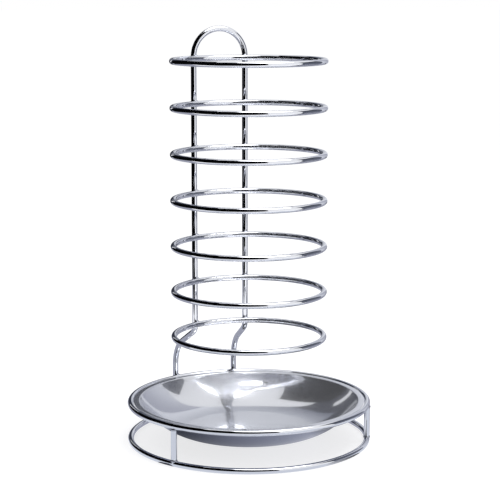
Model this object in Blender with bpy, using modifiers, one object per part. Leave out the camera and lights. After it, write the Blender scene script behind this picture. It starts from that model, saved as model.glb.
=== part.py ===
"""Chromed wire fruit tower: seven hoops on a bent back upright, over a steel bowl in a round wire base.

Metres, +Z up. The origin is on the table, on the axis of the rings. The front is -Y, the upright is at +Y.
"""
import math

import bmesh
import bpy
from mathutils import Matrix, Vector

# The wire that everything but the bowl is made of, the play between pieces that touch, and the
# room between two crossing wires, which weld metal fills.
WIRE_DIAMETER = 0.006
GAP = 0.0003
WELD_ROOM = 0.0008

# The seven hoops that hold the fruit in a column.
HOOP_COUNT = 7
HOOP_RADIUS = 0.077
HOOP_SPACING = 0.047
LOWEST_HOOP_HEIGHT = 0.1095

# The base: two equal rings, one on the table and one that holds the bowl, with two short posts between.
BASE_RING_RADIUS = 0.1227
BOWL_RING_HEIGHT = 0.041
POST_ANGLE = math.radians(60.0)

# The upright: one wire bent into a long hairpin, whose legs spread at the foot to pass outside the base.
LEG_HALF_SPREAD = 0.029
FOOT_HALF_SPREAD = 0.0345
FOOT_HEIGHT = 0.0005
LOOP_RISE = 0.0015

# The flare of each leg: a tight bend outwards, a straight run and a wide bend back, down past the base.
FLARE_TOP_DROP = 0.002
FLARE_ANGLE = math.radians(60.0)
FLARE_TOP_BEND = 0.010
FLARE_BOTTOM_BEND = 0.035

# The bowl: thin steel with a flat middle, a curved wall and a flat lip whose edge lies on the ring's shoulder.
BOWL_SHEET = 0.0006
BOWL_DEPTH = 0.033
BOWL_FLAT_RADIUS = 0.046
BOWL_LIP_WIDTH = 0.006
BOWL_SEAT_ANGLE = math.radians(66.0)
BOWL_WALL_POWER = 2.7
BOWL_WALL_STEPS = 9

# Weld metal: a small bead at each crossing of wires and a collar at each end of a post.
CROSSING_BEAD_RADIUS = 0.0038
COLLAR_RADIUS = 0.0044

# How finely round things are divided.
WIRE_SIDES = 10
POST_SIDES = 12
HOOP_SEGMENTS = 36
BASE_SEGMENTS = 60
TOP_BEND_STEPS = 5
BOTTOM_BEND_STEPS = 6
LOOP_STEPS = 20
WIRE_BEVEL_STEPS = 2
BEAD_STEPS = 2
SHARP_ANGLE = math.radians(40.0)
MERGE_DISTANCE = 0.000002

# Colours and surfaces.
CHROME = {"colour": (0.78, 0.79, 0.82, 1.0), "roughness": 0.06}
WELD_CHROME = {"colour": (0.70, 0.71, 0.74, 1.0), "roughness": 0.18}
BOWL_STEEL = {"colour": (0.58, 0.58, 0.62, 1.0), "roughness": 0.22}

# Places that follow from the sizes above.
WIRE_RADIUS = WIRE_DIAMETER / 2
FLOOR_RING_HEIGHT = WIRE_RADIUS * math.cos(math.pi / WIRE_SIDES)
TOP_HOOP_HEIGHT = LOWEST_HOOP_HEIGHT + (HOOP_COUNT - 1) * HOOP_SPACING
LOOP_CENTRE_HEIGHT = TOP_HOOP_HEIGHT + LOOP_RISE
LEG_RADIUS = HOOP_RADIUS + WIRE_DIAMETER + WELD_ROOM
FOOT_RADIUS = BASE_RING_RADIUS + WIRE_DIAMETER + WELD_ROOM
FLARE_TOP = LOWEST_HOOP_HEIGHT - FLARE_TOP_DROP
SEAT_REACH = WIRE_RADIUS + GAP
BOWL_LIP_RADIUS = BASE_RING_RADIUS - SEAT_REACH * math.sin(BOWL_SEAT_ANGLE)
BOWL_LIP_HEIGHT = BOWL_RING_HEIGHT + SEAT_REACH * math.cos(BOWL_SEAT_ANGLE)


def clear_scene():
    for old in list(bpy.data.objects):
        bpy.data.objects.remove(old, do_unlink=True)


def new_collection(name):
    collection = bpy.data.collections.new(name)
    bpy.context.scene.collection.children.link(collection)
    return collection


def metal(name, look):
    material = bpy.data.materials.new(name)
    material.use_nodes = True
    shader = material.node_tree.nodes["Principled BSDF"]
    shader.inputs["Base Color"].default_value = look["colour"]
    shader.inputs["Metallic"].default_value = 1.0
    shader.inputs["Roughness"].default_value = look["roughness"]
    material.diffuse_color = look["colour"]
    return material


def put_in(obj, collection):
    for holder in list(obj.users_collection):
        holder.objects.unlink(obj)
    collection.objects.link(obj)


def finish_part(obj, name, look, parts, carrier):
    """Names a piece, gives it its own metal, shades it smooth and hangs it on its carrier."""
    obj.name = name
    obj.data.name = name
    obj.data.materials.clear()
    obj.data.materials.append(metal(name + "_metal", look))
    obj.data.shade_smooth()
    obj.data.set_sharp_from_angle(angle=SHARP_ANGLE)
    put_in(obj, parts)
    obj.parent = carrier
    obj.matrix_parent_inverse = Matrix.Translation(carrier.location).inverted()
    return obj


def finish_cutter(obj, name, cutters):
    obj.name = name
    obj.hide_render = True
    obj.display_type = "WIRE"
    put_in(obj, cutters)
    return obj


def add_carrier(name, height, parts):
    """An empty that a body's pieces hang on."""
    carrier = bpy.data.objects.new(name, None)
    carrier.location = (0.0, 0.0, height)
    parts.objects.link(carrier)
    return carrier


def wire_ring(radius, height, wire_radius, segments):
    bpy.ops.mesh.primitive_torus_add(
        major_radius=radius,
        minor_radius=wire_radius,
        major_segments=segments,
        minor_segments=WIRE_SIDES,
        location=(0.0, 0.0, height),
    )
    return bpy.context.object


def leg_point(outward_share, height):
    """A point on the right leg: 0 is beside the hoops and 1 is outside the base rings."""
    top = Vector((LEG_HALF_SPREAD, math.sqrt(LEG_RADIUS ** 2 - LEG_HALF_SPREAD ** 2)))
    foot = Vector((FOOT_HALF_SPREAD, math.sqrt(FOOT_RADIUS ** 2 - FOOT_HALF_SPREAD ** 2)))
    place = top.lerp(foot, outward_share)
    return Vector((place.x, place.y, height))


def flare_places():
    """The flare from its top down: how far out each point lies, as a share of the whole way, and how far down."""
    way_out = (leg_point(1.0, 0.0) - leg_point(0.0, 0.0)).length
    bends_out = (FLARE_TOP_BEND + FLARE_BOTTOM_BEND) * (1 - math.cos(FLARE_ANGLE))
    run = (way_out - bends_out) / math.sin(FLARE_ANGLE)
    places = []
    for step in range(TOP_BEND_STEPS + 1):
        turn = FLARE_ANGLE * step / TOP_BEND_STEPS
        places.append((FLARE_TOP_BEND * (1 - math.cos(turn)), FLARE_TOP_BEND * math.sin(turn)))
    run_out = places[-1][0] + run * math.sin(FLARE_ANGLE)
    run_down = places[-1][1] + run * math.cos(FLARE_ANGLE)
    for step in range(BOTTOM_BEND_STEPS + 1):
        turn = FLARE_ANGLE * (1 - step / BOTTOM_BEND_STEPS)
        out = run_out + FLARE_BOTTOM_BEND * (math.cos(turn) - math.cos(FLARE_ANGLE))
        down = run_down + FLARE_BOTTOM_BEND * (math.sin(FLARE_ANGLE) - math.sin(turn))
        places.append((out, down))
    return [(out / way_out, down) for out, down in places]


def right_leg():
    """The right leg's centreline from its foot up to the start of the flare."""
    flare = [leg_point(out_share, FLARE_TOP - down) for out_share, down in flare_places()]
    return [leg_point(1.0, FOOT_HEIGHT)] + flare[::-1]


def upright_path():
    """The whole hairpin: up the right leg, over the loop and down the left leg."""
    right = right_leg()
    plane = leg_point(0.0, LOOP_CENTRE_HEIGHT).y
    loop = []
    for step in range(LOOP_STEPS + 1):
        turn = math.pi * step / LOOP_STEPS
        rise = LEG_HALF_SPREAD * math.sin(turn)
        loop.append(Vector((LEG_HALF_SPREAD * math.cos(turn), plane, LOOP_CENTRE_HEIGHT + rise)))
    left = [Vector((-point.x, point.y, point.z)) for point in reversed(right)]
    return right + loop + left


def wire_along(path, wire_radius):
    """A round wire along a path, as one closed mesh."""
    curve = bpy.data.curves.new("wire", "CURVE")
    curve.dimensions = "3D"
    curve.bevel_depth = wire_radius
    curve.bevel_resolution = WIRE_BEVEL_STEPS
    curve.use_fill_caps = True
    spline = curve.splines.new("POLY")
    spline.points.add(len(path) - 1)
    for point, place in zip(spline.points, path):
        point.co = (place.x, place.y, place.z, 1.0)
    guide = bpy.data.objects.new("wire_guide", curve)
    bpy.context.scene.collection.objects.link(guide)
    graph = bpy.context.evaluated_depsgraph_get()
    mesh = bpy.data.meshes.new_from_object(guide.evaluated_get(graph))
    shape = bmesh.new()
    shape.from_mesh(mesh)
    bmesh.ops.remove_doubles(shape, verts=shape.verts, dist=MERGE_DISTANCE)
    shape.to_mesh(mesh)
    shape.free()
    wire = bpy.data.objects.new("wire", mesh)
    wire.matrix_world = guide.matrix_world
    bpy.context.scene.collection.objects.link(wire)
    bpy.data.objects.remove(guide, do_unlink=True)
    return wire


def cut(obj, cutter):
    notch = obj.modifiers.new("clear_of_" + cutter.name, "BOOLEAN")
    notch.operation = "DIFFERENCE"
    notch.solver = "EXACT"
    notch.object = cutter


def add_weld(name, place, radius, touches, parts, carrier):
    """A round bead of weld metal, hollowed where the wires that it joins pass through it."""
    mesh = bpy.data.meshes.new(name)
    shape = bmesh.new()
    bmesh.ops.create_icosphere(shape, subdivisions=BEAD_STEPS, radius=radius)
    shape.to_mesh(mesh)
    shape.free()
    bead = bpy.data.objects.new(name, mesh)
    bead.location = place
    for cutter in touches:
        cut(bead, cutter)
    finish_part(bead, name, WELD_CHROME, parts, carrier)


def at_angle(radius, angle, height):
    """A place at a radius, turned from the front (-Y) towards +X."""
    return Vector((radius * math.sin(angle), -radius * math.cos(angle), height))


def post_rod(side, radius):
    """A rod between the middles of both base rings, where a post stands."""
    bpy.ops.mesh.primitive_cylinder_add(
        vertices=POST_SIDES,
        radius=radius,
        depth=BOWL_RING_HEIGHT - FLOOR_RING_HEIGHT,
        location=at_angle(BASE_RING_RADIUS, side * POST_ANGLE, (FLOOR_RING_HEIGHT + BOWL_RING_HEIGHT) / 2),
        rotation=(0.0, 0.0, side * POST_ANGLE),
    )
    return bpy.context.object


def make_post(side, cutters):
    """A short post whose ends are hollowed to sit on both base rings."""
    post = post_rod(side, WIRE_RADIUS)
    cut(post, cutters["floor_ring"])
    cut(post, cutters["bowl_ring"])
    return post


def make_table_cutter():
    """Everything under the table top, so that no weld metal reaches below the floor ring."""
    size = 4 * FOOT_RADIUS
    bpy.ops.mesh.primitive_cube_add(size=size, location=(0.0, 0.0, GAP - size / 2))
    return bpy.context.object


def bowl_profile():
    """The underside of the bowl from the edge of the lip down to the centre, below the seat."""
    wall_top = BOWL_LIP_RADIUS - BOWL_LIP_WIDTH
    points = [(BOWL_LIP_RADIUS, 0.0)]
    for step in range(BOWL_WALL_STEPS, -1, -1):
        share = step / BOWL_WALL_STEPS
        radius = BOWL_FLAT_RADIUS + (wall_top - BOWL_FLAT_RADIUS) * share
        points.append((radius, BOWL_DEPTH * (share ** BOWL_WALL_POWER - 1)))
    points.append((0.0, -BOWL_DEPTH))
    return points


def make_bowl():
    """A turned sheet: the underside's profile, spun round and thickened inwards."""
    profile = [(radius, 0.0, height) for radius, height in bowl_profile()]
    edges = [(index, index + 1) for index in range(len(profile) - 1)]
    mesh = bpy.data.meshes.new("bowl")
    mesh.from_pydata(profile, edges, [])
    bowl = bpy.data.objects.new("bowl", mesh)
    bowl.location = (0.0, 0.0, BOWL_LIP_HEIGHT)
    spin = bowl.modifiers.new("spin", "SCREW")
    spin.steps = BASE_SEGMENTS
    spin.render_steps = BASE_SEGMENTS
    spin.use_merge_vertices = True
    spin.merge_threshold = MERGE_DISTANCE
    spin.use_smooth_shade = True
    sheet = bowl.modifiers.new("sheet", "SOLIDIFY")
    sheet.thickness = BOWL_SHEET
    sheet.offset = -1.0
    return bowl


def hoop_height(number):
    """Hoops are counted from the top."""
    return TOP_HOOP_HEIGHT - (number - 1) * HOOP_SPACING


def make_base(parts, cutters, frame):
    """The two base rings, the posts between them and the cutters that give them their play."""
    rings = {"floor_ring": FLOOR_RING_HEIGHT, "bowl_ring": BOWL_RING_HEIGHT}
    spaces = {}
    for name, height in rings.items():
        ring = wire_ring(BASE_RING_RADIUS, height, WIRE_RADIUS, BASE_SEGMENTS)
        finish_part(ring, name, CHROME, parts, frame)
        space = wire_ring(BASE_RING_RADIUS, height, WIRE_RADIUS + GAP, BASE_SEGMENTS)
        spaces[name] = finish_cutter(space, name + "_space", cutters)
    for side, name in ((-1, "post_left"), (1, "post_right")):
        post = make_post(side, spaces)
        finish_part(post, name, CHROME, parts, frame)
        spaces[name] = finish_cutter(post_rod(side, WIRE_RADIUS + GAP), name + "_space", cutters)
    return spaces


def make_post_welds(parts, spaces, frame):
    """A collar of weld metal round each end of both posts."""
    ends = {"bottom": FLOOR_RING_HEIGHT + WIRE_RADIUS, "top": BOWL_RING_HEIGHT - WIRE_RADIUS}
    rings = {"bottom": "floor_ring", "top": "bowl_ring"}
    for side, post in ((-1, "post_left"), (1, "post_right")):
        for end, height in ends.items():
            place = at_angle(BASE_RING_RADIUS, side * POST_ANGLE, height)
            touches = (spaces[rings[end]], spaces[post])
            add_weld(f"{post}_{end}_weld", place, COLLAR_RADIUS, touches, parts, frame)


def crossing_places(ring_radius, out_share, height):
    """The middle of the weld between one ring and the left and the right leg of the upright."""
    leg = leg_point(out_share, height)
    reach = ring_radius + (WIRE_DIAMETER + WELD_ROOM) / 2
    outward = Vector((leg.x, leg.y)).normalized() * reach
    return {"left": Vector((-outward.x, outward.y, height)), "right": Vector((outward.x, outward.y, height))}


def make_upright(parts, cutters, frame):
    path = upright_path()
    upright = wire_along(path, WIRE_RADIUS)
    finish_part(upright, "back_upright", CHROME, parts, frame)
    space = wire_along(path, WIRE_RADIUS + GAP)
    return finish_cutter(space, "upright_space", cutters)


def make_base_welds(parts, spaces, frame):
    """The beads that hold the legs of the upright to both base rings."""
    for ring, height in (("floor_ring", FLOOR_RING_HEIGHT), ("bowl_ring", BOWL_RING_HEIGHT)):
        touches = (spaces[ring], spaces["upright"], spaces["table"])
        for side, place in crossing_places(BASE_RING_RADIUS, 1.0, height).items():
            add_weld(f"{ring}_weld_{side}", place, CROSSING_BEAD_RADIUS, touches, parts, frame)


def make_hoops(parts, cutters, spaces, frame):
    """The hoops, each with the two beads that hold it to the upright."""
    for number in range(1, HOOP_COUNT + 1):
        height = hoop_height(number)
        hoop = wire_ring(HOOP_RADIUS, height, WIRE_RADIUS, HOOP_SEGMENTS)
        finish_part(hoop, f"hoop_{number}", CHROME, parts, frame)
        space = wire_ring(HOOP_RADIUS, height, WIRE_RADIUS + GAP, HOOP_SEGMENTS)
        finish_cutter(space, f"hoop_{number}_space", cutters)
        touches = (space, spaces["upright"])
        for side, place in crossing_places(HOOP_RADIUS, 0.0, height).items():
            add_weld(f"hoop_{number}_weld_{side}", place, CROSSING_BEAD_RADIUS, touches, parts, frame)


def main():
    clear_scene()
    parts = new_collection("fruit_tower")
    cutters = new_collection("fruit_tower_cutters")
    frame = add_carrier("wire_frame", 0.0, parts)
    spaces = make_base(parts, cutters, frame)
    spaces["upright"] = make_upright(parts, cutters, frame)
    spaces["table"] = finish_cutter(make_table_cutter(), "table_space", cutters)
    make_post_welds(parts, spaces, frame)
    make_base_welds(parts, spaces, frame)
    make_hoops(parts, cutters, spaces, frame)
    seat = add_carrier("bowl_lift", BOWL_LIP_HEIGHT, parts)
    finish_part(make_bowl(), "fruit_bowl", BOWL_STEEL, parts, seat)


main()
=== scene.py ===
"""Chromed wire fruit tower: the looks of its wires, welds and bowl, and a plain white studio.

Metres, +Z up. The front is -Y and the upright is at +Y. The origin is on the table, under the hoops.
"""
import math

import bpy
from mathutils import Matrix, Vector


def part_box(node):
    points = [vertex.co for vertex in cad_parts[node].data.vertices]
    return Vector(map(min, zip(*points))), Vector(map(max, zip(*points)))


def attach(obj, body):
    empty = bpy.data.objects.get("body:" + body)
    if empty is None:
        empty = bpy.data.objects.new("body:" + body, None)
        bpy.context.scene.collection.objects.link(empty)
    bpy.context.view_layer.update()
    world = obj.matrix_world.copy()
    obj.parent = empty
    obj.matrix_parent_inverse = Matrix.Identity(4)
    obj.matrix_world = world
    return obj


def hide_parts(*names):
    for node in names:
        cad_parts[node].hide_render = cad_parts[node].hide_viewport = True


bl_info = {
    "name": "Wire Fruit Tower",
    "version": (1, 0, 0),
    "blender": (4, 5, 0),
    "location": "3D View > Sidebar > Fruit Tower",
    "description": "Models a chromed wire fruit tower with a lift-out bowl, in a white studio",
    "category": "Add Mesh",
}

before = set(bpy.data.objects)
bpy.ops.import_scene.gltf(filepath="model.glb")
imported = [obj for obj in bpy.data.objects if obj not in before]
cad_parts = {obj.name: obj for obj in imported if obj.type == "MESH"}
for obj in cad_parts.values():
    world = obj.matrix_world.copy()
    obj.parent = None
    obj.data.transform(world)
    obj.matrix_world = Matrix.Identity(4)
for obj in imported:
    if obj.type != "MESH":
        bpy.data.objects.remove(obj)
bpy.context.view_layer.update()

# The hoops from the top one down
HOOPS = sorted(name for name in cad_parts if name.startswith("hoop_") and "weld" not in name)

MERGE_DISTANCE = 0.000002
SMOOTH_ANGLE = math.radians(32.0)
BEVEL_LIMIT = math.radians(60.0)
TABLE_CLEARANCE = 0.0005
UP = Vector((0.0, 0.0, 1.0))
UPRIGHT, LYING = math.pi / 2, 0.0
WHITE = (1.0, 1.0, 1.0, 1.0)

# Where in a pattern's values, from 0 to 1, a metal starts to roughen and where it is roughest
HAZE_LIMITS = (0.35, 0.7)
PIT_LIMITS = (0.35, 0.65)
RING_LIMITS = (0.45, 1.0)

# How many rings the wave pattern has in a metre at a scale of 1
RINGS_IN_A_METRE = 20 / math.tau

# The boards outside the picture that the metal mirrors. Each row holds a board's tones from one end to the
# other, the way they fade (X across it, Y up or along it), where it stands (degrees to the camera's right),
# its distance from the object's axis, its tilt, and how far it reaches across and along from the middle of
# its foot, in metres.
BOARDS = {
    # Black lines on the fronts of the wires
    "front_black_board": (("black", "black"), "X", -35, 0.85, UPRIGHT, (-0.8, 1.6), (0.001, 2.05)),
    "table_black_board": (("black", "black"), "X", -35, 0.85, LYING, (-0.7, 1.25), (0.0, 0.35)),
    "tall_black_board": (("black", "black"), "X", -55, 0.8, UPRIGHT, (-0.34, 0.43), (0.001, 3.0)),
    # Black left ends of the hoops, and a grey streak at the right of each
    "left_dark_board": (("black", "charcoal"), "Y", -115, 0.9, UPRIGHT, (-0.48, 0.9), (0.001, 2.4)),
    "right_slate_board": (("mid_grey", "slate"), "Y", 103, 0.9, UPRIGHT, (-0.38, 0.41), (0.001, 1.0)),
    "table_slate_board": (("slate", "slate"), "X", 103, 0.9, LYING, (-0.28, 0.41), (0.0, 0.5)),
    # Greys on the backs of the hoops and in the bowl
    "back_left_board": (("slate", "slate"), "X", 180, 1.3, UPRIGHT, (0.45, 1.86), (0.001, 1.6)),
    "back_middle_board": (("pale", "mid_grey"), "X", 180, 1.3, UPRIGHT, (-0.45, 0.45), (0.001, 1.6)),
    "back_right_board": (("pale", "lavender"), "X", 180, 1.3, UPRIGHT, (-1.86, -0.45), (0.001, 1.6)),
    "back_edge_board": (("black", "black"), "X", 180, 1.28, UPRIGHT, (-0.9, 0.9), (0.0, 0.055)),
    "back_slate_board": (("slate", "slate"), "X", 180, 1.27, UPRIGHT, (0.1, 1.0), (0.0, 0.5)),
    # A bright tip at the left end of each hoop
    "left_white_board": (("white", "white"), "X", -150, 1.2, UPRIGHT, (-0.05, 0.05), (0.3, 0.65)),
    # Painted shade of the table round and under the object, seen only in the mirrors: pale lower edges of
    # the wires, the dark line on the right post, and the bowl's underside
    "table_front_shade_board": (("table_shade_grey", "table_shade_grey"), "X", 0, 0.0, LYING, (-0.35, 0.35), (-0.3, -0.1)),
    "table_left_shade_board": (("table_shade_grey", "table_shade_grey"), "X", 0, 0.0, LYING, (-0.35, -0.09), (-0.1, 0.0)),
    "under_bowl_shadow_board": (("slate", "pale"), "X", 0, 0.0, LYING, (-0.09, 0.07), (-0.1, 0.0)),
    "post_shadow_board": (("pale", "black"), "X", 0, 0.0, LYING, (0.07, 0.112), (-0.1, 0.0)),
    "table_right_shade_board": (("table_shade_grey", "table_shade_grey"), "X", 0, 0.0, LYING, (0.112, 0.35), (-0.1, 0.0)),
    "table_back_shade_board": (("lavender", "lavender"), "X", 180, 0.0, LYING, (-1.2, 1.2), (-1.3, 0.0)),
}


def size(name, description, default):
    """A length that the user can set, in metres."""
    return bpy.props.FloatProperty(
        name=name,
        description=description,
        default=default,
        min=0.0,
        precision=6,
        unit="LENGTH",
    )


def angle(name, description, degrees):
    """An angle that the user can set."""
    return bpy.props.FloatProperty(
        name=name,
        description=description,
        default=math.radians(degrees),
        unit="ROTATION",
    )


def count(name, description, default):
    """A whole number that the user can set."""
    return bpy.props.IntProperty(name=name, description=description, default=default, min=1)


def amount(name, description, default):
    """A plain number that the user can set."""
    return bpy.props.FloatProperty(name=name, description=description, default=default, min=0.0)


def to_linear(hex_colour):
    """A colour written as sRGB hex, as the linear values that shaders take."""
    parts = [int(hex_colour[place:place + 2], 16) / 255 for place in (1, 3, 5)]
    linear = [part / 12.92 if part <= 0.04045 else ((part + 0.055) / 1.055) ** 2.4 for part in parts]
    return (*linear, 1.0)


def colour(name, description, hex_colour):
    """A colour that the user can set."""
    return bpy.props.FloatVectorProperty(
        name=name,
        description=description,
        default=to_linear(hex_colour),
        size=4,
        min=0.0,
        max=1.0,
        subtype="COLOR",
    )


class WireSizes(bpy.types.PropertyGroup):
    """The round steel wire and how finely it is divided"""

    diameter: size("Wire diameter", "Diameter of the round wire", 0.006)
    play: size("Play", "Gap between pieces that touch", 0.0003)
    weld_room: size("Weld room", "Room between crossing wires, which weld metal fills", 0.0008)
    sides: count("Points round", "Points round the wire's section", 40)
    hoop_steps: count("Hoop steps", "Sections round a hoop", 180)
    base_steps: count("Base ring steps", "Sections round a base ring", 260)
    seam_swell: size("Seam swell", "How far a ring's butt weld stands proud", 0.00006)
    seam_width: size("Seam width", "Width of a ring's butt weld", 0.0018)


class UprightSizes(bpy.types.PropertyGroup):
    """The bent hairpin at the back and its carrying loop"""

    leg_half_spread: size("Leg half spread", "Half the distance between the legs beside the hoops", 0.029)
    foot_half_spread: size("Foot half spread", "Half the distance between the legs at the base", 0.0345)
    foot_height: size("Foot height", "How far the leg ends stay above the table", 0.0005)
    foot_chamfer: size("Foot chamfer", "Chamfer of the cut ends", 0.0005)
    chamfer_steps: count("Chamfer steps", "Sections in the chamfer", 3)
    loop_rise: size("Loop rise", "Height of the loop's centre above the top hoop's", 0.0015)
    flare_drop: size("Flare drop", "How far under the lowest hoop's centre the flare starts", 0.002)
    flare_angle: angle("Flare angle", "Slope of the flare from the vertical", 60.0)
    top_bend: size("Top bend", "Radius of the bend outwards", 0.010)
    bottom_bend: size("Bottom bend", "Radius of the bend back down", 0.035)
    bend_steps: count("Bend steps", "Sections in each bend", 20)
    loop_steps: count("Loop steps", "Sections in a quarter of the carrying loop", 32)


class BowlSizes(bpy.types.PropertyGroup):
    """The turned sheet-steel bowl"""

    sheet: size("Sheet", "Thickness of the steel", 0.0006)
    depth: size("Depth", "Depth under the lip", 0.033)
    flat_radius: size("Flat radius", "Radius of the flat middle", 0.046)
    lip_width: size("Lip width", "Width of the flat lip", 0.006)
    crease: size("Crease", "Radius between the lip and the wall", 0.0016)
    edge_round: size("Edge round", "Rounding of the lip's cut edge", 0.0002)
    edge_steps: count("Edge steps", "Sections in the rounded edge", 3)
    seat_angle: angle("Seat angle", "Where on the ring's shoulder the lip lies", 66.0)
    wall_power: amount("Wall power", "How sharply the wall turns up", 2.7)
    crease_steps: count("Crease steps", "Sections in the crease", 8)
    wall_steps: count("Wall steps", "Sections up the wall", 30)
    middle_steps: count("Middle steps", "Sections across the flat middle", 4)
    turn_steps: count("Turn steps", "Sections round the bowl", 200)


class WeldSizes(bpy.types.PropertyGroup):
    """The beads of weld metal"""

    bead_radius: size("Bead radius", "Radius of a bead at crossing wires", 0.0038)
    collar_radius: size("Collar radius", "Radius of the collar at a post's end", 0.0037)
    collar_height: size("Collar height", "How far the collar reaches up the post", 0.0026)
    ripple: size("Ripple", "How uneven the metal set", 0.00035)
    smoothing: amount("Smoothing", "How much one pass evens a bead out", 0.5)
    smooth_passes: count("Smoothing passes", "How often a bead is evened out", 3)
    bead_sides: count("Bead sides", "Points round a bead", 28)


class Finishes(bpy.types.PropertyGroup):
    """Colours, roughness and fine marks of the metals"""

    chrome: colour("Chrome", "Bright chrome plate", "#E4E6EC")
    chrome_smooth: amount("Chrome smooth", "Roughness of the plate where it is clean", 0.018)
    chrome_rough: amount("Chrome rough", "Roughness of the plate where handling has hazed it", 0.048)
    chrome_haze_size: size("Haze size", "Size of the hazy marks", 0.014)
    chrome_wave_size: size("Chrome wave size", "Size of the plate's slight waves", 0.016)
    chrome_wave_height: size("Chrome wave height", "Height of the plate's slight waves", 0.000008)
    weld: colour("Weld", "Plate over weld metal", "#C9CBD3")
    weld_smooth: amount("Weld smooth", "Roughness of the plate in the pits", 0.096)
    weld_rough: amount("Weld rough", "Roughness of the plate between the pits", 0.288)
    weld_pit_shade: amount("Pit shade", "Brightness of the pits, as a share of the rest", 0.45)
    weld_pit_size: size("Pit size", "Size of the pits", 0.0009)
    weld_pit_depth: size("Pit depth", "Depth of the pits", 0.00008)
    bowl_inside: colour("Bowl inside", "Polished stainless sheet", "#DADCE2")
    bowl_inside_smooth: amount("Inside smooth", "Roughness of the polished side between its rings", 0.06)
    bowl_inside_rough: amount("Inside rough", "Roughness of the polished side on its rings", 0.3)
    bowl_inside_rings: size("Inside rings", "Distance between the rings on the polished side", 0.0007)
    bowl_inside_mirror: amount("Inside mirror", "Share of the polished side free of fine scratches", 0.88)
    # The underside's colour is darker and bluer than the polished side's: painted shade of the shadowed
    # table under the bowl, which the underside mirrors.
    bowl_outside: colour("Bowl underside", "Satin stainless sheet", "#8C90A2")
    bowl_outside_smooth: amount("Underside smooth", "Roughness of the satin side between its rings", 0.25)
    bowl_outside_rough: amount("Underside rough", "Roughness of the satin side on its rings", 0.4)
    bowl_outside_rings: size("Underside rings", "Distance between the rings on the satin side", 0.0009)
    bowl_outside_mirror: amount("Underside mirror", "Share of the satin side that is bare metal", 1.0)
    bowl_wave_size: size("Bowl wave size", "Size of the sheet's slight waves", 0.045)
    bowl_wave_height: size("Bowl wave height", "Height of the sheet's slight waves", 0.00012)


class Studio(bpy.types.PropertyGroup):
    """The camera, the floor and the light"""

    camera_distance: size("Camera distance", "Distance from the object's axis, on the level", 1.570)
    camera_height: size("Camera height", "Height over the table", 0.4645)
    camera_azimuth: angle("Camera azimuth", "How far the camera stands to the left of the front", 23.2)
    camera_pitch: angle("Camera pitch", "How far the camera looks down", 9.59)
    camera_lens: amount("Lens", "Focal length on a 36 mm sensor, in millimetres", 112.03)
    camera_shift: amount("Lens shift", "Sideways shift of the lens, as a share of the frame", 0.0022)
    floor: colour("Floor", "Matt pale table", "#A6A6A8")
    floor_size: size("Floor size", "Side of the floor", 60.0)
    floor_lift: amount("Floor lift", "White that the floor adds for the camera and the mirrors", 0.73)
    black: colour("Black", "Darkest tone of the boards", "#060607")
    charcoal: colour("Charcoal", "Very dark tone of the boards", "#0D0E11")
    slate: colour("Slate", "Dark blue-grey tone of the boards", "#383B45")
    mid_grey: colour("Mid grey", "Middle tone of the boards", "#757986")
    lavender: colour("Lavender", "Light blue-grey tone of the boards", "#A9ABB8")
    # A grey that stands for the table's shade near the object: painted shade, seen only in the mirrors.
    table_shade_grey: colour("Table grey", "Pale tone of the board on the table", "#DDE1EA")
    pale: colour("Pale grey", "Palest grey of the boards", "#F0F2F8")
    white: colour("White", "Tone of the board that gives each hoop its bright left tip", "#FFFFFF")
    soft_light: amount("Soft light", "Strength of the even light from all round", 0.75)
    top_lamp_power: amount("Top lamp power", "Power of the soft lamp overhead, in watts", 20.0)
    top_lamp_size: size("Top lamp size", "Side of the soft lamp overhead", 1.3)
    top_lamp_height: size("Top lamp height", "Height of the soft lamp overhead", 2.0)
    top_lamp_azimuth: angle("Top lamp azimuth", "How far the lamp stands to the camera's right", 60.0)
    top_lamp_distance: size("Top lamp distance", "Distance of the lamp from the object's axis", 0.55)


def sizes(group):
    """The values of one property group, as the user has set them."""
    return getattr(bpy.context.scene, "fruit_tower_" + group)


def select_nothing():
    """Leaves edit mode and clears the selection."""
    if bpy.context.mode != "OBJECT":
        bpy.ops.object.mode_set(mode="OBJECT")
    bpy.ops.object.select_all(action="DESELECT")


def start_shaping():
    """Takes the new primitive's place into its mesh and opens it in edit mode with all of it selected."""
    bpy.ops.object.transform_apply(location=True, rotation=True, scale=True)
    bpy.ops.object.mode_set(mode="EDIT")
    bpy.ops.mesh.select_all(action="SELECT")


def add_section(place, turn, radius, points):
    """The round outline of a wire or a bowl, ready to be drawn out."""
    select_nothing()
    bpy.ops.mesh.primitive_circle_add(vertices=points, radius=radius, location=place, rotation=turn)
    start_shaping()


def draw_out(way):
    """Extrudes the selected outline along a straight line."""
    bpy.ops.mesh.extrude_region_move(TRANSFORM_OT_translate={"value": way})


def bend_round(centre, axis, turn, steps):
    """Draws the selected outline round an arc, anticlockwise about the axis. Spin counts clockwise."""
    bpy.ops.mesh.spin(steps=steps, angle=-turn, center=centre, axis=axis)


def close_shape():
    """Merges the seams and turns all faces outwards."""
    bpy.ops.mesh.select_all(action="SELECT")
    bpy.ops.mesh.remove_doubles(threshold=MERGE_DISTANCE)
    bpy.ops.mesh.normals_make_consistent(inside=False)
    bpy.ops.object.mode_set(mode="OBJECT")


def select_points(test):
    """In edit mode, selects the points that pass a test."""
    bpy.ops.mesh.select_mode(type="VERT")
    bpy.ops.mesh.select_all(action="DESELECT")
    bpy.ops.object.mode_set(mode="OBJECT")
    for point in bpy.context.object.data.vertices:
        point.select = test(point.co)
    bpy.ops.object.mode_set(mode="EDIT")


def apply_modifier(kind, settings):
    """Adds a modifier to the active object and applies it."""
    modifier = bpy.context.object.modifiers.new(kind.lower(), kind)
    for key, value in settings.items():
        setattr(modifier, key, value)
    bpy.ops.object.modifier_apply(modifier=modifier.name)


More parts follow.
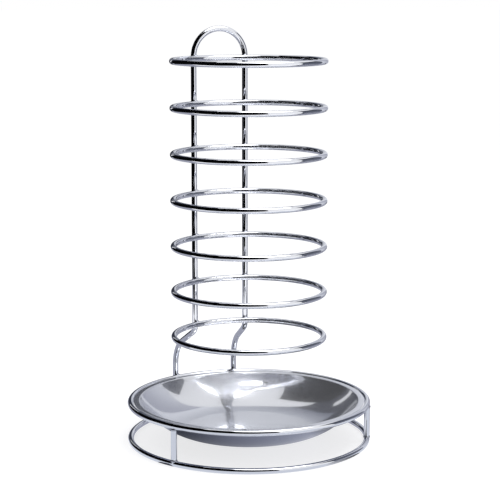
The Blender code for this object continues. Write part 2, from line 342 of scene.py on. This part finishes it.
def finish_piece(name, node, body, slot, *materials):
    """Names the active piece, gives it its metal and puts it in its node's place on its body."""
    piece = bpy.context.object
    piece.name = name
    piece.data.name = name
    for material in materials:
        piece.data.materials.append(material)
    select_nothing()
    piece.select_set(True)
    bpy.ops.object.shade_smooth_by_angle(angle=SMOOTH_ANGLE)
    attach(piece, body)
    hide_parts(node)


def new_material(name):
    """A material whose nodes are still to come."""
    material = bpy.data.materials.new(name)
    material.use_nodes = True
    material.node_tree.nodes.clear()
    return material


def add_node(tree, kind, settings=None, links=None):
    """Adds a shader node, sets its fields and sockets, and links other nodes' outputs to its inputs."""
    node = tree.nodes.new(kind)
    for key, value in (settings or {}).items():
        if isinstance(key, int) or key in node.inputs:
            node.inputs[key].default_value = value
        else:
            setattr(node, key, value)
    for key, (source, output) in (links or {}).items():
        tree.links.new(source.outputs[output], node.inputs[key])
    return node


def finish_metal(tree, settings, pattern, limits, roughness, relief, height, tint=None):
    """Ends a metal's nodes: one pattern roughens it, another raises it, and a tint can vary its colour."""
    span = {"From Min": limits[0], "From Max": limits[1], "To Min": roughness[0], "To Max": roughness[1]}
    rough = add_node(tree, "ShaderNodeMapRange", span, {"Value": (pattern, "Fac")})
    bump = add_node(tree, "ShaderNodeBump", {"Strength": 1.0, "Distance": height},
                    {"Height": (relief, "Fac")})
    links = {"Roughness": (rough, "Result"), "Normal": (bump, "Normal")}
    if tint is not None:
        links["Base Color"] = (tint, 2)
    shader = add_node(tree, "ShaderNodeBsdfPrincipled", settings, links)
    add_node(tree, "ShaderNodeOutputMaterial", None, {"Surface": (shader, "BSDF")})


def chrome_plate():
    """Bright chrome on drawn wire: a near mirror, very slightly wavy, with a faint haze from handling."""
    if "bright_chrome_plate" in bpy.data.materials:
        return bpy.data.materials["bright_chrome_plate"]
    look = sizes("finishes")
    material = new_material("bright_chrome_plate")
    tree = material.node_tree
    place = add_node(tree, "ShaderNodeTexCoord")
    haze = add_node(tree, "ShaderNodeTexNoise", {"Scale": 1 / look.chrome_haze_size, "Detail": 3.0},
                    {"Vector": (place, "Object")})
    waves = add_node(tree, "ShaderNodeTexNoise", {"Scale": 1 / look.chrome_wave_size, "Detail": 0.0},
                     {"Vector": (place, "Object")})
    finish_metal(tree, {"Base Color": look.chrome, "Metallic": 1.0}, haze, HAZE_LIMITS,
                 (look.chrome_smooth, look.chrome_rough), waves, look.chrome_wave_height)
    return material


def plated_weld():
    """Chrome over weld metal: the same plate, but duller and uneven, with small dark pits."""
    look = sizes("finishes")
    material = new_material("chrome_plated_weld")
    tree = material.node_tree
    place = add_node(tree, "ShaderNodeTexCoord")
    pits = add_node(tree, "ShaderNodeTexNoise", {"Scale": 1 / look.weld_pit_size, "Detail": 2.0},
                    {"Vector": (place, "Object")})
    dark = (*(look.weld_pit_shade * part for part in look.weld[:3]), 1.0)
    shade = add_node(tree, "ShaderNodeMix", {"data_type": "RGBA", 6: dark, 7: look.weld},
                     {0: (pits, "Fac")})
    finish_metal(tree, {"Metallic": 1.0}, pits, PIT_LIMITS, (look.weld_smooth, look.weld_rough), pits,
                 look.weld_pit_depth, shade)
    return material


def turned_sheet(name, side):
    """Stainless sheet spun on a lathe: fine rings, part smooth and part matt, and a very slight waviness.
    The side, bowl_inside or bowl_outside, says which of the finishes it takes."""
    look = sizes("finishes")
    material = new_material(name)
    tree = material.node_tree
    place = add_node(tree, "ShaderNodeTexCoord")
    ring_scale = 1 / (RINGS_IN_A_METRE * getattr(look, side + "_rings"))
    rings = add_node(tree, "ShaderNodeTexWave",
                     {"wave_type": "RINGS", "rings_direction": "Z", "Scale": ring_scale},
                     {"Vector": (place, "Object")})
    waves = add_node(tree, "ShaderNodeTexNoise", {"Scale": 1 / look.bowl_wave_size, "Detail": 0.0},
                     {"Vector": (place, "Object")})
    roughness = (getattr(look, side + "_smooth"), getattr(look, side + "_rough"))
    # On the underside this colour holds painted shade: it is darker and bluer than the polished side's.
    settings = {"Base Color": getattr(look, side), "Metallic": getattr(look, side + "_mirror")}
    finish_metal(tree, settings, rings, RING_LIMITS, roughness, waves, look.bowl_wave_height)
    return material


def ring_place(node):
    """A ring's centreline radius and height, from its CAD node. It lies on the table and never in it."""
    low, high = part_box(node)
    half = sizes("wire").diameter / 2
    return high.x - half, max((low.z + high.z) / 2, half)


def leg_place(node, half_spread):
    """Where the right leg passes a ring, seen from above, with weld metal between."""
    wire = sizes("wire")
    reach = ring_place(node)[0] + wire.diameter + wire.weld_room
    return Vector((half_spread, math.sqrt(reach ** 2 - half_spread ** 2), 0.0))


def make_ring(node, steps, material):
    """A closed wire ring with the faint swelling of its butt weld at the back."""
    wire = sizes("wire")
    half = wire.diameter / 2
    radius, height = ring_place(node)
    add_section((radius, 0.0, height), (math.pi / 2, 0.0, 0.0), half, wire.sides)
    bend_round((0.0, 0.0, 0.0), UP, math.tau, steps)
    close_shape()
    bpy.ops.object.mode_set(mode="EDIT")
    for side in (-1, 0, 1):
        bpy.ops.mesh.select_all(action="SELECT")
        bpy.ops.mesh.bisect(plane_co=(side * wire.seam_width / 2, 0.0, 0.0), plane_no=(1.0, 0.0, 0.0))
    select_points(lambda point: point.y > 0 and abs(point.x) < MERGE_DISTANCE)
    swell = 1 + wire.seam_swell / half
    bpy.ops.transform.resize(value=(1.0, swell, swell), center_override=(0.0, radius, height))
    close_shape()
    finish_piece("wire_" + node, node, "wire_frame", "chrome_wire", material)


class FRUITTOWER_OT_hoops(bpy.types.Operator):
    """Models the seven wire hoops"""

    bl_idname = "fruit_tower.hoops"
    bl_label = "Hoops"

    def execute(self, context):
        plate = chrome_plate()
        for node in HOOPS:
            make_ring(node, sizes("wire").hoop_steps, plate)
        return {"FINISHED"}


class FRUITTOWER_OT_base_rings(bpy.types.Operator):
    """Models the two wire rings of the base"""

    bl_idname = "fruit_tower.base_rings"
    bl_label = "Base rings"

    def execute(self, context):
        plate = chrome_plate()
        for node in ("floor_ring", "bowl_ring"):
            make_ring(node, sizes("wire").base_steps, plate)
        return {"FINISHED"}


def cap_foot():
    """Closes the cut end of the leg and chamfers its edge."""
    shape = sizes("upright")
    select_points(lambda point: point.z < shape.foot_height + MERGE_DISTANCE)
    bpy.ops.mesh.edge_face_add()
    bpy.ops.mesh.bevel(offset=shape.foot_chamfer, segments=shape.chamfer_steps, affect="EDGES")


class FRUITTOWER_OT_upright(bpy.types.Operator):
    """Bends the upright and its carrying loop from one wire"""

    bl_idname = "fruit_tower.upright"
    bl_label = "Upright"

    def execute(self, context):
        shape = sizes("upright")
        top = leg_place(HOOPS[0], shape.leg_half_spread)
        foot = leg_place("floor_ring", shape.foot_half_spread)
        outward = (foot - top).normalized()
        across = outward.cross(UP)
        sine, cosine = math.sin(shape.flare_angle), math.cos(shape.flare_angle)
        both_bends = shape.top_bend + shape.bottom_bend
        run = ((foot - top).length - both_bends * (1 - cosine)) / sine
        flare_top = ring_place(HOOPS[-1])[1] - shape.flare_drop
        flare_bottom = flare_top - both_bends * sine - run * cosine
        loop_height = ring_place(HOOPS[0])[1] + shape.loop_rise
        wire = sizes("wire")
        add_section(foot + UP * shape.foot_height, (0.0, 0.0, 0.0), wire.diameter / 2, wire.sides)
        draw_out(UP * (flare_bottom - shape.foot_height))
        bottom_centre = foot - outward * shape.bottom_bend + UP * flare_bottom
        bend_round(bottom_centre, across, shape.flare_angle, shape.bend_steps)
        draw_out((UP * cosine - outward * sine) * run)
        top_centre = top + outward * shape.top_bend + UP * flare_top
        bend_round(top_centre, -across, shape.flare_angle, shape.bend_steps)
        draw_out(UP * (loop_height - flare_top))
        bend_round((0.0, top.y, loop_height), (0.0, -1.0, 0.0), math.pi / 2, shape.loop_steps)
        cap_foot()
        bpy.ops.mesh.select_all(action="SELECT")
        bpy.ops.mesh.symmetrize(direction="POSITIVE_X")
        close_shape()
        finish_piece("wire_upright", "back_upright", "wire_frame", "chrome_wire", chrome_plate())
        return {"FINISHED"}


class FRUITTOWER_OT_posts(bpy.types.Operator):
    """Models the two short posts of the base, which run into the wire of both rings"""

    bl_idname = "fruit_tower.posts"
    bl_label = "Posts"

    def execute(self, context):
        plate = chrome_plate()
        wire = sizes("wire")
        foot, head = ring_place("floor_ring")[1], ring_place("bowl_ring")[1]
        for node in ("post_left", "post_right"):
            low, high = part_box(node)
            middle = (low + high) / 2
            add_section((middle.x, middle.y, foot), (0.0, 0.0, 0.0), wire.diameter / 2, wire.sides)
            draw_out(UP * (head - foot))
            bpy.ops.mesh.select_all(action="SELECT")
            bpy.ops.mesh.fill_holes(sides=0)
            close_shape()
            finish_piece("wire_" + node, node, "wire_frame", "chrome_wire", plate)
        return {"FINISHED"}


def make_bead(node, place, radius, height, seed, material):
    """A bead of weld metal, a little uneven as it set, flat where it meets the table."""
    weld = sizes("weld")
    select_nothing()
    bpy.ops.mesh.primitive_uv_sphere_add(
        segments=weld.bead_sides,
        ring_count=weld.bead_sides // 2,
        radius=radius,
        location=place,
    )
    start_shaping()
    bpy.ops.transform.resize(value=(1.0, 1.0, height / radius), center_override=place)
    bpy.ops.transform.vertex_random(offset=weld.ripple, uniform=0.0, normal=1.0, seed=seed)
    bpy.ops.mesh.vertices_smooth(factor=weld.smoothing, repeat=weld.smooth_passes)
    bpy.ops.mesh.select_all(action="SELECT")
    bpy.ops.mesh.bisect(plane_co=(0.0, 0.0, 0.0), plane_no=UP, use_fill=True, clear_inner=True)
    close_shape()
    finish_piece("bead_" + node, node, "wire_frame", "weld_metal", material)


def crossing(node, half_spread, side):
    """The middle of the weld between a ring and the left (-1) or right (1) leg."""
    wire = sizes("wire")
    radius, height = ring_place(node)
    leg = leg_place(node, half_spread)
    place = leg.normalized() * (radius + (wire.diameter + wire.weld_room) / 2)
    return Vector((side * place.x, place.y, height))


class FRUITTOWER_OT_welds(bpy.types.Operator):
    """Models the weld beads at every crossing of wires and at both ends of the posts"""

    bl_idname = "fruit_tower.welds"
    bl_label = "Welds"

    def execute(self, context):
        metal = plated_weld()
        shape, weld = sizes("upright"), sizes("weld")
        spreads = {node: shape.leg_half_spread for node in HOOPS}
        spreads.update({ring: shape.foot_half_spread for ring in ("floor_ring", "bowl_ring")})
        for seed, (ring, spread) in enumerate(spreads.items()):
            for side, word in ((-1, "left"), (1, "right")):
                node, place = f"{ring}_weld_{word}", crossing(ring, spread, side)
                make_bead(node, place, weld.bead_radius, weld.bead_radius, 2 * seed + side, metal)
        half = sizes("wire").diameter / 2
        for post in ("post_left", "post_right"):
            low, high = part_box(post)
            for end, ring, rise in (("bottom", "floor_ring", half), ("top", "bowl_ring", -half)):
                place = ((low.x + high.x) / 2, (low.y + high.y) / 2, ring_place(ring)[1] + rise)
                seed = len(post + end)
                make_bead(f"{post}_{end}_weld", place, weld.collar_radius, weld.collar_height, seed, metal)
        return {"FINISHED"}


def bowl_outline():
    """Radius and height of the bowl's underside, from the edge of the lip to the middle."""
    bowl, wire = sizes("bowl"), sizes("wire")
    ring_radius, ring_height = ring_place("bowl_ring")
    reach = wire.diameter / 2 + wire.play
    lip_radius = ring_radius - reach * math.sin(bowl.seat_angle)
    lip_height = ring_height + reach * math.cos(bowl.seat_angle)
    wall_top = lip_radius - bowl.lip_width
    wall_width = wall_top - bowl.flat_radius
    slope = math.atan(bowl.depth * bowl.wall_power / wall_width)
    tangent = bowl.crease * math.tan(slope / 2)
    points = [(lip_radius, lip_height)]
    for step in range(bowl.crease_steps + 1):
        turn = slope * step / bowl.crease_steps
        fall = bowl.crease * (1 - math.cos(turn))
        points.append((wall_top + tangent - bowl.crease * math.sin(turn), lip_height - fall))
    start_share = 1 - tangent * math.cos(slope) / wall_width
    for step in range(1, bowl.wall_steps + 1):
        share = start_share * (1 - step / bowl.wall_steps)
        fall = bowl.depth * (1 - share ** bowl.wall_power)
        points.append((bowl.flat_radius + share * wall_width, lip_height - fall))
    for step in range(1, bowl.middle_steps):
        points.append((bowl.flat_radius * (1 - step / bowl.middle_steps), lip_height - bowl.depth))
    return points


class FRUITTOWER_OT_bowl(bpy.types.Operator):
    """Spins the bowl out of steel sheet"""

    bl_idname = "fruit_tower.bowl"
    bl_label = "Bowl"

    def execute(self, context):
        bowl = sizes("bowl")
        (radius, height), *inner = bowl_outline()
        add_section((0.0, 0.0, height), (0.0, 0.0, 0.0), radius, bowl.turn_steps)
        for next_radius, next_height in inner:
            draw_out((0.0, 0.0, next_height - height))
            share = next_radius / radius
            bpy.ops.transform.resize(value=(share, share, 1.0), center_override=(0.0, 0.0, next_height))
            radius, height = next_radius, next_height
        bpy.ops.mesh.extrude_region_move()
        bpy.ops.mesh.merge(type="CENTER")
        close_shape()
        middle = min(context.object.data.polygons, key=lambda face: face.center.length)
        if middle.normal.z > 0:
            context.object.data.flip_normals()
        # The satin underside's material carries painted shade in its darker, bluer colour.
        context.object.data.materials.append(turned_sheet("satin_sheet_with_painted_shade", "bowl_outside"))
        context.object.data.materials.append(turned_sheet("polished_stainless_sheet", "bowl_inside"))
        apply_modifier("SOLIDIFY", {"thickness": bowl.sheet, "offset": -1.0, "use_even_offset": True,
                                    "material_offset": 1, "material_offset_rim": 1})
        apply_modifier("BEVEL", {"width": bowl.edge_round, "segments": bowl.edge_steps,
                                 "limit_method": "ANGLE", "angle_limit": BEVEL_LIMIT})
        finish_piece("sheet_bowl", "fruit_bowl", "bowl", "bowl_steel")
        return {"FINISHED"}


def from_camera_side(turn, distance, height):
    """A place at a distance from the object's axis, turned to the camera's right of where it stands."""
    side = turn - sizes("studio").camera_azimuth
    return Vector((distance * math.sin(side), -distance * math.cos(side), height))


def add_camera():
    """The camera of the photo, as fitted to the nine rings in it."""
    studio = sizes("studio")
    lens = bpy.data.cameras.new("photo_camera")
    lens.lens = studio.camera_lens
    lens.shift_x = studio.camera_shift
    camera = bpy.data.objects.new("photo_camera", lens)
    bpy.context.scene.collection.objects.link(camera)
    camera.location = from_camera_side(0.0, studio.camera_distance, studio.camera_height)
    camera.rotation_euler = (math.pi / 2 - studio.camera_pitch, 0.0, -studio.camera_azimuth)
    bpy.context.scene.camera = camera


def white_for_camera_and_mirrors(tree):
    """One for rays from the camera, a mirror or through glass, and nothing for rays that only light."""
    path = add_node(tree, "ShaderNodeLightPath")
    direct = add_node(tree, "ShaderNodeMath", {"operation": "MAXIMUM"},
                      {0: (path, "Is Camera Ray"), 1: (path, "Is Glossy Ray")})
    return add_node(tree, "ShaderNodeMath", {"operation": "MAXIMUM"},
                    {0: (direct, "Value"), 1: (path, "Is Transmission Ray")})


def add_white_surround():
    """White all round for the camera and the mirrors, and a softer white as light."""
    world = bpy.data.worlds.new("white_surround")
    world.use_nodes = True
    bpy.context.scene.world = world
    tree = world.node_tree
    tree.nodes.clear()
    seen = white_for_camera_and_mirrors(tree)
    strength = add_node(tree, "ShaderNodeMapRange", {"To Min": sizes("studio").soft_light, "To Max": 1.0},
                        {"Value": (seen, "Value")})
    glow = add_node(tree, "ShaderNodeBackground", {"Color": WHITE},
                    {"Strength": (strength, "Result")})
    add_node(tree, "ShaderNodeOutputWorld", None, {"Surface": (glow, "Background")})


def add_floor():
    """A wide matt white table, lifted to white for the camera, on which the object's shadow still shows."""
    studio = sizes("studio")
    select_nothing()
    bpy.ops.mesh.primitive_plane_add(size=studio.floor_size)
    floor = bpy.context.object
    floor.name = "white_table"
    material = new_material("matt_white_table")
    tree = material.node_tree
    seen = white_for_camera_and_mirrors(tree)
    lift = add_node(tree, "ShaderNodeMapRange", {"To Min": 0.0, "To Max": studio.floor_lift},
                    {"Value": (seen, "Value")})
    shader = add_node(tree, "ShaderNodeBsdfPrincipled",
                      {"Base Color": studio.floor, "Roughness": 1.0, "Specular IOR Level": 0.0,
                       "Emission Color": WHITE}, {"Emission Strength": (lift, "Result")})
    add_node(tree, "ShaderNodeOutputMaterial", None, {"Surface": (shader, "BSDF")})
    floor.data.materials.append(material)


def board_material(name, tones, fade_along):
    """A board's own flat light, fading from one tone to the other across it or up it."""
    material = new_material(name)
    tree = material.node_tree
    place = add_node(tree, "ShaderNodeTexCoord")
    split = add_node(tree, "ShaderNodeSeparateXYZ", None, {"Vector": (place, "UV")})
    tone = add_node(tree, "ShaderNodeMix", {"data_type": "RGBA", 6: tones[0], 7: tones[1]},
                    {0: (split, fade_along)})
    glow = add_node(tree, "ShaderNodeEmission", None, {"Color": (tone, 2)})
    add_node(tree, "ShaderNodeOutputMaterial", None, {"Surface": (glow, "Emission")})
    return material


def add_board(name, tones, fade_along, facing, distance, tilt, across, along):
    """A board outside the picture that shows only in the mirrors."""
    select_nothing()
    bpy.ops.mesh.primitive_plane_add(size=1.0)
    board = bpy.context.object
    board.name = name
    start_shaping()
    spread = (across[1] - across[0], along[1] - along[0], 1.0)
    bpy.ops.transform.resize(value=spread, center_override=(0.0, 0.0, 0.0))
    bpy.ops.transform.translate(value=(sum(across) / 2, sum(along) / 2, 0.0))
    bpy.ops.object.mode_set(mode="OBJECT")
    board.location = from_camera_side(facing, distance, TABLE_CLEARANCE)
    board.rotation_euler = (tilt, 0.0, facing - sizes("studio").camera_azimuth)
    bpy.ops.object.transform_apply(location=True, rotation=True, scale=True)
    board.data.materials.append(board_material(name, tones, fade_along))
    board.visible_camera = False
    board.visible_diffuse = False
    board.visible_shadow = False


def add_lamp(name, power, side, place):
    """A square soft lamp that looks at the object and stays out of the picture."""
    light = bpy.data.lights.new(name, "AREA")
    light.energy = power
    light.size = side
    lamp = bpy.data.objects.new(name, light)
    bpy.context.scene.collection.objects.link(lamp)
    lamp.location = place
    lamp.rotation_euler = (-Vector(place)).to_track_quat("-Z", "Y").to_euler()
    lamp.visible_camera = False


class FRUITTOWER_OT_stage(bpy.types.Operator):
    """Sets up the camera, the white table and the light"""

    bl_idname = "fruit_tower.stage"
    bl_label = "Studio"

    def execute(self, context):
        studio = sizes("studio")
        add_camera()
        add_white_surround()
        add_floor()
        for name, (tones, fade_along, facing, distance, tilt, across, along) in BOARDS.items():
            shown = [getattr(studio, tone) for tone in tones]
            add_board(name, shown, fade_along, math.radians(facing), distance, tilt, across, along)
        place = from_camera_side(studio.top_lamp_azimuth, studio.top_lamp_distance, studio.top_lamp_height)
        add_lamp("top_soft_lamp", studio.top_lamp_power, studio.top_lamp_size, place)
        context.scene.view_settings.view_transform = "Standard"
        return {"FINISHED"}


GROUPS = {
    "wire": WireSizes,
    "upright": UprightSizes,
    "bowl": BowlSizes,
    "weld": WeldSizes,
    "finishes": Finishes,
    "studio": Studio,
}
OPERATORS = (
    FRUITTOWER_OT_hoops,
    FRUITTOWER_OT_base_rings,
    FRUITTOWER_OT_upright,
    FRUITTOWER_OT_posts,
    FRUITTOWER_OT_welds,
    FRUITTOWER_OT_bowl,
    FRUITTOWER_OT_stage,
)


class FRUITTOWER_PT_panel(bpy.types.Panel):
    """The buttons and sizes of the fruit tower"""

    bl_label = "Fruit Tower"
    bl_idname = "FRUITTOWER_PT_panel"
    bl_space_type = "VIEW_3D"
    bl_region_type = "UI"
    bl_category = "Fruit Tower"

    def draw(self, context):
        for operator in OPERATORS:
            self.layout.operator(operator.bl_idname)
        for name, group in GROUPS.items():
            box = self.layout.box()
            box.label(text=name.capitalize())
            for prop in group.__annotations__:
                box.prop(sizes(name), prop)


def register():
    for name, group in GROUPS.items():
        bpy.utils.register_class(group)
        setattr(bpy.types.Scene, "fruit_tower_" + name, bpy.props.PointerProperty(type=group))
    for shown in (*OPERATORS, FRUITTOWER_PT_panel):
        bpy.utils.register_class(shown)


def unregister():
    for shown in (FRUITTOWER_PT_panel, *reversed(OPERATORS)):
        bpy.utils.unregister_class(shown)
    for name, group in reversed(GROUPS.items()):
        delattr(bpy.types.Scene, "fruit_tower_" + name)
        bpy.utils.unregister_class(group)


def main():
    register()
    for operator in OPERATORS:
        folder, name = operator.bl_idname.split(".")
        getattr(getattr(bpy.ops, folder), name)()


if __name__ == "__main__":
    main()
